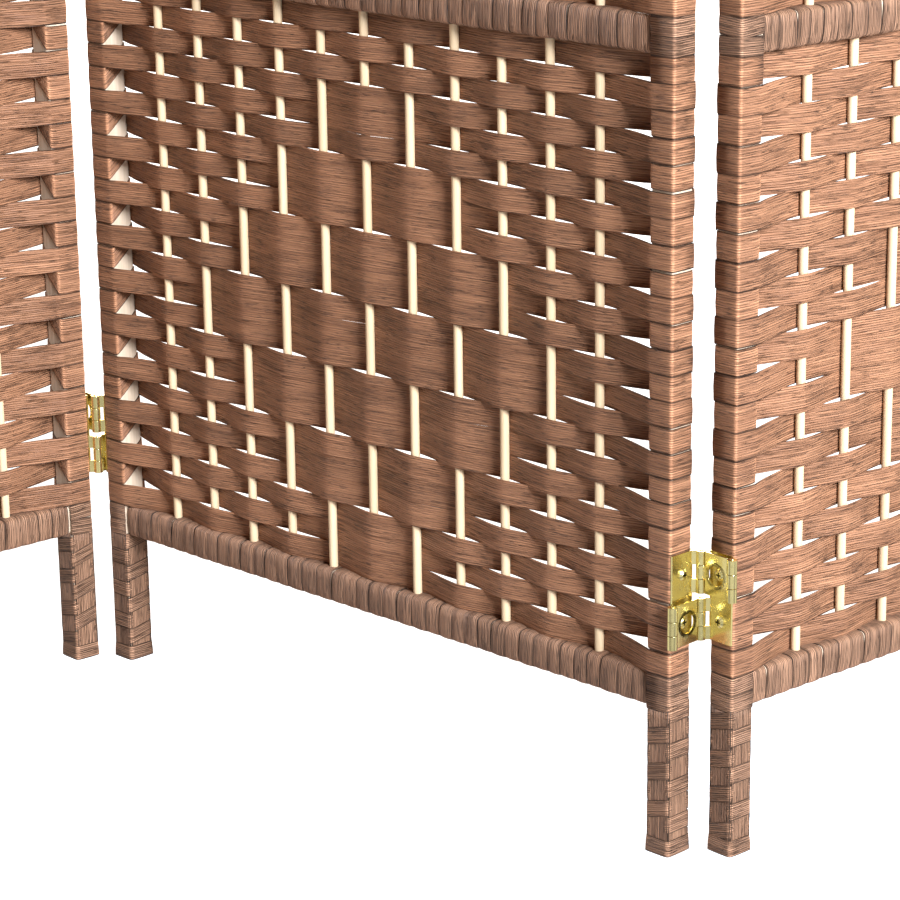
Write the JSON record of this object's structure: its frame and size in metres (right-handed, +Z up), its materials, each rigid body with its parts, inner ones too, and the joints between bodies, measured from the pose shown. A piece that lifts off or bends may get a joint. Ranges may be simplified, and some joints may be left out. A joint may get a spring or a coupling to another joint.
{
  "type": "folding room divider screen",
  "caption": "Folding room divider with hinged wooden panels, wrapped in paper fibre and woven in a diamond pattern over vertical rods.",
  "frame": {"origin": "on the floor under the centre of the middle panel", "axes": "+Z up; X along the middle panel with +X to its right; -Y is the front of the middle panel"},
  "size_m": [0.6188, 1.0414, 1.612],
  "materials": {
    "frame_wood": "bare, sanded",
    "rod_wood": "pale, smooth",
    "fibre_wrap": "matte twisted paper fibre",
    "fibre_strip": "matte flat paper-fibre strip",
    "hinge_brass": "polished, bright"
  },
  "bodies": {
    "middle_panel": {"middle_stile_left": "frame_wood", "middle_stile_wrap_left": "fibre_wrap", "middle_stile_right": "frame_wood", "middle_stile_wrap_right": "fibre_wrap", "middle_rail_bottom": "frame_wood", "middle_rail_lower": "frame_wood", "middle_rail_centre": "frame_wood", "middle_rail_upper": "frame_wood", "middle_rail_top": "frame_wood", "middle_rail_wraps": "fibre_wrap", "middle_rods": "rod_wood", "middle_weave_1": "fibre_strip", "middle_weave_2": "fibre_strip", "middle_weave_3": "fibre_strip", "middle_weave_4": "fibre_strip", "middle_screws": "hinge_brass", "left_hinge_inner_leaves": "hinge_brass", "left_hinge_fixed_links": "hinge_brass", "left_hinge_pivot_pins": "hinge_brass", "right_hinge_inner_leaves": "hinge_brass", "right_hinge_fixed_links": "hinge_brass", "right_hinge_pivot_pins": "hinge_brass"},
    "left_panel": {"left_stile_left": "frame_wood", "left_stile_wrap_left": "fibre_wrap", "left_stile_right": "frame_wood", "left_stile_wrap_right": "fibre_wrap", "left_rail_bottom": "frame_wood", "left_rail_lower": "frame_wood", "left_rail_centre": "frame_wood", "left_rail_upper": "frame_wood", "left_rail_top": "frame_wood", "left_rail_wraps": "fibre_wrap", "left_rods": "rod_wood", "left_weave_1": "fibre_strip", "left_weave_2": "fibre_strip", "left_weave_3": "fibre_strip", "left_weave_4": "fibre_strip", "left_screws": "hinge_brass", "left_hinge_outer_leaves": "hinge_brass", "left_hinge_swinging_links": "hinge_brass", "left_hinge_idle_pins": "hinge_brass"},
    "right_panel": {"right_stile_left": "frame_wood", "right_stile_wrap_left": "fibre_wrap", "right_stile_right": "frame_wood", "right_stile_wrap_right": "fibre_wrap", "right_rail_bottom": "frame_wood", "right_rail_lower": "frame_wood", "right_rail_centre": "frame_wood", "right_rail_upper": "frame_wood", "right_rail_top": "frame_wood", "right_rail_wraps": "fibre_wrap", "right_rods": "rod_wood", "right_weave_1": "fibre_strip", "right_weave_2": "fibre_strip", "right_weave_3": "fibre_strip", "right_weave_4": "fibre_strip", "right_screws": "hinge_brass", "right_hinge_outer_leaves": "hinge_brass", "right_hinge_swinging_links": "hinge_brass", "right_hinge_idle_pins": "hinge_brass"}
  },
  "joints": [
    {"name": "left_fold", "type": "hinge", "parent": "middle_panel", "child": "left_panel", "pos_m": [-0.2572, -0.0121, 0], "axis": [0, 0, 1], "range_deg": [-86.5, 93.5]},
    {"name": "right_fold", "type": "hinge", "parent": "middle_panel", "child": "right_panel", "pos_m": [0.2572, 0.0121, 0], "axis": [0, 0, 1], "range_deg": [-86.5, 93.5]}
  ]
}
